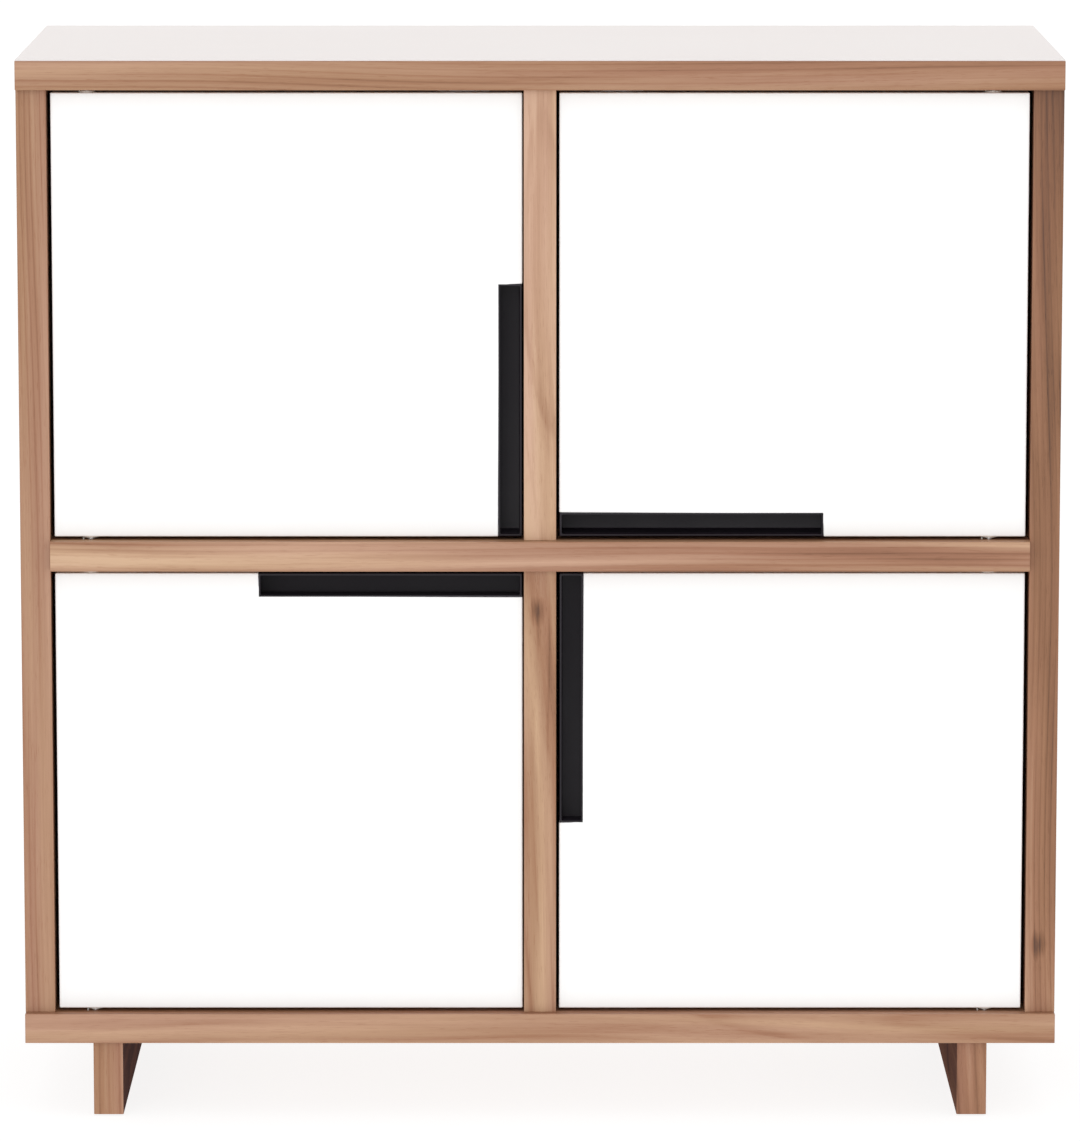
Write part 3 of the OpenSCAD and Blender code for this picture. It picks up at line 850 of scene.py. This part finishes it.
def screw_master(length, finish):
    """A pan-head screw with a cross recess: its head's top is at z = 0."""
    profile = [(SCREW_HEAD * math.sin(a), -HEAD_HEIGHT * (1 - math.cos(a) ** DOME_FULLNESS) * DOME_HEIGHT)
               for a in quarter(8)]
    profile += [(SCREW_HEAD, -HEAD_HEIGHT), (SCREW_SHANK, -HEAD_HEIGHT), (SCREW_SHANK, SCREW_POINT - length),
                (0, -length)]
    screw = new_object("screw", lathe(profile, SCREW_SEGMENTS), [finish])
    half_length, half_width, depth = RECESS
    for turn in (0, 90):
        arm = block((-half_length, -half_width, -depth), (half_length, half_width, CUT_PAST))
        arm.transform(Matrix.Rotation(math.radians(turn), 4, "Z"))
        boolean(screw, arm)
    finish_all(screw, finish)
    return screw


def make_screws(node, finish):
    """A detailed screw for each solid of the node, each with its cross turned further."""
    solids = islands(node)
    lo, hi = box_of(solids[0])
    turned = [fastener_frame(points) @ Matrix.Rotation(SCREW_TURN * k, 4, "Z")
              for k, points in enumerate(solids)]
    stand_for(copies(node + "_detailed", screw_master(max(hi - lo), finish), turned), node)


def make_bushes(node, bore, finish):
    """Each solid of the node becomes a turned bush, with its flange at the wider end."""
    solids = islands(node)
    places = [fastener_frame(points) @ Matrix.Translation((0, 0, -FLANGE)) for points in solids]
    lo, hi = box_of(solids[-1])
    size = hi - lo
    rim, length = max(size.x, size.y) / 2, size.z - FLANGE
    profile = [(bore, -length), (SLEEVE, -length), (SLEEVE, 0), (rim, 0), (rim, FLANGE - BUSH_EDGE),
               (rim - BUSH_EDGE, FLANGE), (bore + BUSH_EDGE, FLANGE), (bore, FLANGE - BUSH_EDGE)]
    stand_for(copies(node + "_turned", new_object("bush", lathe(profile), [finish]), places), node)


def make_glides(finish):
    """Round feet with a soft lower edge and a nail."""
    lo, hi = box_of(ISLANDS["leg_glides"][0])
    radius = (hi.x - lo.x) / 2
    foot = radius - GLIDE_TAPER
    arc = [(foot + GLIDE_TAPER * math.sin(a), GLIDE_RISE * (1 - math.cos(a))) for a in quarter(6)]
    profile = [(0, 0)] + arc + [(radius, GLIDE_THICK), (NAIL, GLIDE_THICK), (NAIL, hi.z - NAIL_POINT),
                                (0, hi.z)]
    places = [Matrix.Translation(((a.x + b.x) / 2, (a.y + b.y) / 2, 0))
              for a, b in map(box_of, ISLANDS["leg_glides"])]
    glide = new_object("glide", lathe(profile), [finish])
    stand_for(copies("leg_glides_turned", glide, places), "leg_glides")


def make_catches(finish):
    """Moulded housings with two ears, and a mouth for the magnet and its pole plates."""
    shells = []
    for points in ISLANDS["magnet_catch_housings"]:
        lo, hi = box_of(points)
        board_above = lo.z > cad_hi.z / 2
        body = points[np.abs(points[:, Z] - (lo.z if board_above else hi.z)) < FLUSH]
        ears = ((lo.x, lo.y, hi.z - CATCH_EAR), hi) if board_above else (lo, (hi.x, hi.y, lo.z + CATCH_EAR))
        shell = new_object("catch", block(*ears, EAR_EDGE, 3), [finish])
        core = block((body[:, X].min(), lo.y, lo.z), (body[:, X].max(), hi.y, hi.z), CORE_EDGE, 3)
        boolean(shell, core, "UNION")
        magnet = min(ISLANDS["catch_magnets"], key=lambda p: np.linalg.norm(p.mean(0) - points.mean(0)))
        magnet_lo, magnet_hi = box_of(magnet)
        boolean(shell, block((magnet_lo.x, magnet_lo.y - CATCH_MOUTH, magnet_lo.z), magnet_hi))
        shells.append(shell)
    joined = join("magnet_catch_housings_moulded", shells, finish)
    stand_for(smooth(joined, CATCH_SMOOTH), "magnet_catch_housings")


def make_strike(name, finish):
    """A thin pressed plate with round corners and a softened rim."""
    node = name + "_strike_plate"
    lo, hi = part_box(node)
    bm = block(lo, hi)

    def depth(edge):
        return abs(edge.verts[0].co.y - edge.verts[1].co.y)

    round_edges(bm, [e for e in bm.edges if depth(e) > 0.5 * MM], STRIKE_CORNER, 4)
    round_edges(bm, [e for e in bm.edges if depth(e) < SAME and e.calc_face_angle(0) > 0.5], STRIKE_RIM, 2)
    stand_for(new_object(node + "_pressed", bm, [finish]), node)


# ---------------------------------------------------------------- everything

ISLANDS = {n: islands(n) for n in ("cam_discs", "leg_bolts", "leg_glides", "magnet_catch_housings",
                                   "catch_magnets")}

FLOOR_HALF, FLOOR_THICK = 60, 0.05     # metres
DOOR_BORE, FRAME_BORE = 3.0 * MM, 3.05 * MM

WHITE = lacquer("white_lacquer", rgb(0.93, 0.93, 0.925))
BLACK = moulded("black_moulded", rgb(0.0088, 0.0056, 0.0102))
BLACK_GLIDE = moulded("black_glide", rgb(0.02, 0.02, 0.02))
WHITE_CATCH = moulded("white_catch", rgb(0.80, 0.80, 0.78), 0.35, 1200.0)
NYLON = moulded("natural_nylon", rgb(0.72, 0.71, 0.67), 0.38, 900.0)
ZINC = metal("zinc_plate", rgb(0.66, 0.66, 0.68), 0.32, (900, 900, 900))
STEEL = metal("bright_steel", rgb(0.70, 0.70, 0.70), 0.24, (1500, 1500, 60))
POLE_STEEL = metal("pole_steel", rgb(0.30, 0.30, 0.31))
DIE_CAST = metal("die_cast_zinc", rgb(0.55, 0.55, 0.57), 0.42, (700, 700, 700))
ZINC_ALLOY = metal("zinc_alloy", rgb(0.60, 0.57, 0.50), 0.4, (700, 700, 700))
BEECH = beech("beech_dowel")

make_camera()
make_light()

floor = new_object("floor", block((-FLOOR_HALF, -FLOOR_HALF, -FLOOR_THICK), (FLOOR_HALF, FLOOR_HALF, 0)),
                   [floor_finish("floor_paint")])

make_boards()

for door in DOORS:
    taken, inner = make_door(door, WHITE)
    make_pull(door, taken, inner, BLACK)
    make_screws(door + "_door_screws", ZINC)
    make_bushes(door + "_door_bushes", DOOR_BORE, NYLON)
    make_strike(door, ZINC)
    finish_all(NODES[door + "_pivot_pins"], STEEL)

make_screws("back_panel_screws", ZINC)
make_screws("catch_screws", ZINC)
make_bushes("frame_bushes", FRAME_BORE, NYLON)
make_glides(BLACK_GLIDE)
make_catches(WHITE_CATCH)

for node, finish in (("catch_magnets", POLE_STEEL), ("cam_discs", DIE_CAST), ("cam_bolts", STEEL),
                     ("leg_bolts", ZINC), ("leg_inserts", ZINC_ALLOY), ("dowels", BEECH)):
    finish_all(NODES[node], finish)
